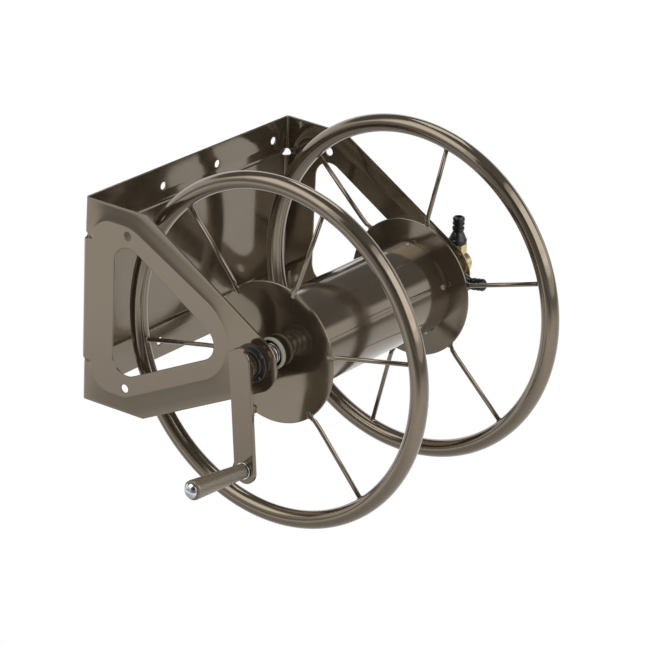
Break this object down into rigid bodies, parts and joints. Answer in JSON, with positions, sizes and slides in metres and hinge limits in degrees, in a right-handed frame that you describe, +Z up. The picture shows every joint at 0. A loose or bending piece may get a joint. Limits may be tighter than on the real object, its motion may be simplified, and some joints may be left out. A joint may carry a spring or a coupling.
{
  "type": "wall mounted hose reel",
  "caption": "Wall mounted garden hose reel: folded steel bracket, drum between two tubular spoked wheels, side crank with turning grip, brass swivel inlet and quick-connect plugs.",
  "frame": {"origin": "centre of the wall bolt holes, in the plane of the wall", "axes": "+X along the axle towards the inlet, +Y into the wall, +Z up"},
  "size_m": [0.6455, 0.554, 0.5079],
  "materials": {
    "bronze_coat": "gloss powder coat, dark bronze to taupe",
    "bearing_steel": "gloss dark bronze",
    "zinc_steel": "zinc plated",
    "hub_steel": "plain",
    "spring_steel": "bright drawn wire",
    "cream_nylon": "satin",
    "seal_rubber": "matt",
    "chrome_trim": "polished",
    "brass": "machined",
    "black_plastic": "gloss"
  },
  "bodies": {
    "bracket": {"back_plate": "bronze_coat", "crank_side_panel": "bronze_coat", "inlet_side_panel": "bronze_coat", "crank_side_bearing": "bearing_steel", "inlet_side_bearing": "bearing_steel", "bearing_rivets": "zinc_steel", "tension_spring": "spring_steel", "spring_seat": "zinc_steel", "thrust_ring": "cream_nylon"},
    "reel": {"friction_pad": "seal_rubber", "axle": "zinc_steel", "axle_plug": "zinc_steel", "crank_side_hub": "hub_steel", "inlet_side_hub": "hub_steel", "drum_shell": "bronze_coat", "drum_screws": "zinc_steel", "crank_side_disc": "bronze_coat", "inlet_side_disc": "bronze_coat", "crank_side_rim": "bronze_coat", "inlet_side_rim": "bronze_coat", "crank_spoke_1": "bronze_coat", "crank_spoke_2": "bronze_coat", "crank_spoke_3": "bronze_coat", "crank_spoke_4": "bronze_coat", "crank_spoke_5": "bronze_coat", "crank_spoke_6": "bronze_coat", "inlet_spoke_1": "bronze_coat", "inlet_spoke_2": "bronze_coat", "inlet_spoke_3": "bronze_coat", "inlet_spoke_4": "bronze_coat", "inlet_spoke_5": "bronze_coat", "inlet_spoke_6": "bronze_coat", "crank_arm": "bronze_coat", "crank_pin": "zinc_steel", "grip_bolt": "zinc_steel", "grip_washer": "chrome_trim", "grip_cap": "chrome_trim", "swivel_seals": "seal_rubber", "swivel_clip": "zinc_steel", "outlet_elbow": "brass", "outlet_seals": "seal_rubber", "outlet_gasket": "seal_rubber", "outlet_plug": "black_plastic"},
    "grip": {"grip": "bronze_coat"},
    "inlet_swivel": {"swivel_body": "brass", "inlet_gasket": "seal_rubber", "inlet_plug": "black_plastic"}
  },
  "joints": [
    {"name": "reel_spin", "type": "hinge", "parent": "bracket", "child": "reel", "pos_m": [-0.02, -0.3, -0.0115], "axis": [1, 0, 0], "continuous": true},
    {"name": "grip_spin", "type": "hinge", "parent": "reel", "child": "grip", "pos_m": [-0.253, -0.31409, -0.15782], "axis": [-0.9962, 0.0084, 0.0868], "continuous": true},
    {"name": "inlet_swivel_turn", "type": "hinge", "parent": "bracket", "child": "inlet_swivel", "pos_m": [0.251, -0.3, -0.0115], "axis": [1, 0, 0], "continuous": true}
  ]
}
